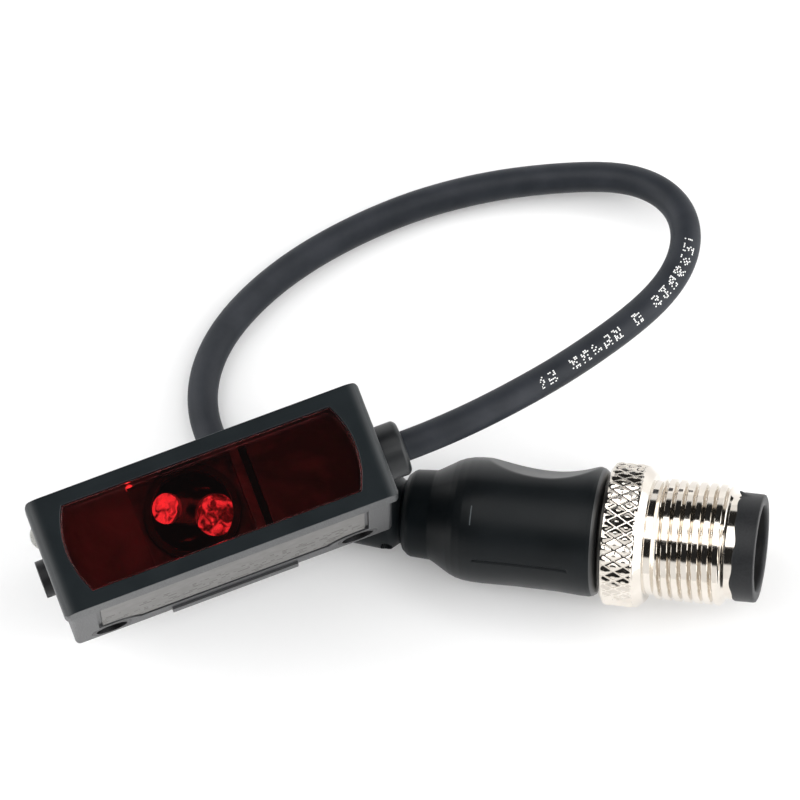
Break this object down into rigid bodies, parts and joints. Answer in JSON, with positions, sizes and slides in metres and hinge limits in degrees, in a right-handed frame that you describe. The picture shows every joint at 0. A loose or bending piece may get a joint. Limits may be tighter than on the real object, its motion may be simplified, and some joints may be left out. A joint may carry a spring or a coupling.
{
  "type": "photoelectric sensor",
  "caption": "Miniature photoelectric sensor: black slab head with a dark red arched-end window, cross mounting holes, end adjuster, and a short lead to a knurled 12 mm screw plug.",
  "frame": {"origin": "middle of the two cross mounting holes, on their common plane, at half the head's width", "axes": "+X along the head towards the lead, +Y along the mounting holes, +Z out of the window"},
  "size_m": [0.0727, 0.0517, 0.0289],
  "materials": {
    "head_plastic": "fine moulded texture",
    "bezel_plastic": "fine moulded texture, satin edges",
    "window_acrylic": "polished, dark red tint",
    "gasket": "matte",
    "carrier_plastic": "matte",
    "lens_clear": "polished",
    "lamp_red": "moulded epoxy",
    "receiver_epoxy": "moulded epoxy",
    "board_green": "solder mask",
    "chip_black": "moulded epoxy",
    "component_ceramic": "fired ceramic",
    "lamp_amber": "moulded epoxy",
    "light_pipe": "frosted clear plastic",
    "trimmer_blue": "moulded",
    "knob_plastic": "moulded",
    "sleeve_steel": "blackened",
    "label_grey": "satin film",
    "gland_rubber": "moulded, semi-matte",
    "wire_pvc": "extruded",
    "lead_jacket": "extruded, satin",
    "grip_polymer": "moulded, semi-gloss",
    "insert_plastic": "moulded",
    "pin_gold": "gold plated",
    "nut_nickel": "bright nickel plate"
  },
  "bodies": {
    "sensor": {"housing": "head_plastic", "front_cover": "bezel_plastic", "window": "window_acrylic", "window_seal": "gasket", "optics_block": "carrier_plastic", "objective_lens": "lens_clear", "light_baffle": "carrier_plastic", "emitter_led": "lamp_red", "receiver_diode": "receiver_epoxy", "main_board": "board_green", "controller_chip": "chip_black", "board_components": "component_ceramic", "end_board": "board_green", "indicator_led": "lamp_amber", "indicator_lens": "light_pipe", "adjuster_body": "trimmer_blue", "mounting_sleeves": "sleeve_steel", "label_plate": "label_grey", "cable_gland": "gland_rubber", "lead_wires": "wire_pvc", "cable": "lead_jacket", "connector_grip": "grip_polymer", "contact_carrier": "insert_plastic", "contact_pins": "pin_gold"},
    "coupling_nut": {"coupling_nut": "nut_nickel"},
    "adjuster_knob": {"adjuster_knob": "knob_plastic"}
  },
  "joints": [
    {"name": "nut_turn", "type": "hinge", "parent": "sensor", "child": "coupling_nut", "pos_m": [0.04088, -0.01584, -0.00299], "axis": [0.8744, -0.4649, 0.1392], "continuous": true},
    {"name": "adjuster_turn", "type": "hinge", "parent": "sensor", "child": "adjuster_knob", "pos_m": [-0.0165, 0, 0.0072], "axis": [-1, 0, 0], "range_deg": [-135, 135]}
  ]
}
